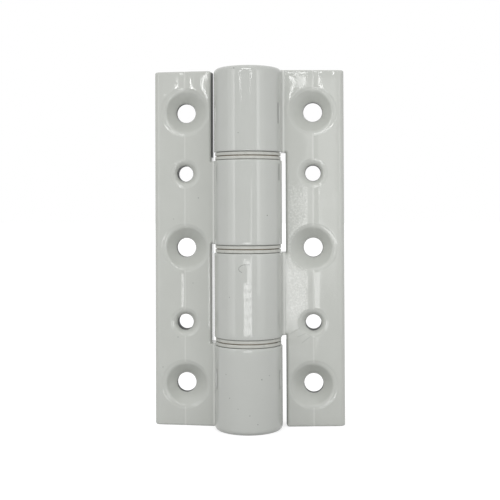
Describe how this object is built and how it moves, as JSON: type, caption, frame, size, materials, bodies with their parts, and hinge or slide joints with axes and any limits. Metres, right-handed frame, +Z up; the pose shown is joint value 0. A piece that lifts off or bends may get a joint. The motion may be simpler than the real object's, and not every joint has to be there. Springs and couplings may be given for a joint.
{
  "type": "folding door hinge",
  "caption": "Butt hinge for folding doors, opened flat: coated leaves with interleaved knuckles, flanged bushes and countersunk screw holes.",
  "frame": {"origin": "on the hinge axis, halfway up the barrel", "axes": "+Z up along the hinge axis; -Y the side with the barrel and the countersinks, the viewer's; +X towards the leaf that carries the top knuckle"},
  "size_m": [0.0538, 0.0188, 0.1],
  "materials": {
    "leaf_coat": "gloss powder coat, light warm grey, over extruded aluminium",
    "bush_plastic": "moulded grey",
    "pin_steel": "ground",
    "washer_bronze": "dull bronze",
    "cap_plastic": "moulded grey"
  },
  "bodies": {
    "right_leaf_group": {"right_leaf": "leaf_coat", "bush_top_knuckle": "bush_plastic", "bush_third_upper": "bush_plastic", "bush_third_lower": "bush_plastic", "hinge_pin": "pin_steel", "washer_upper": "washer_bronze", "washer_middle": "washer_bronze", "washer_lower": "washer_bronze", "cap_top": "cap_plastic"},
    "left_leaf_group": {"left_leaf": "leaf_coat", "bush_second_upper": "bush_plastic", "bush_second_lower": "bush_plastic", "bush_bottom_knuckle": "bush_plastic", "cap_bottom": "cap_plastic"}
  },
  "joints": [
    {"name": "leaf_fold", "type": "hinge", "parent": "right_leaf_group", "child": "left_leaf_group", "pos_m": [0, 0, 0], "axis": [0, 0, 1], "range_deg": [-90, 180]}
  ]
}
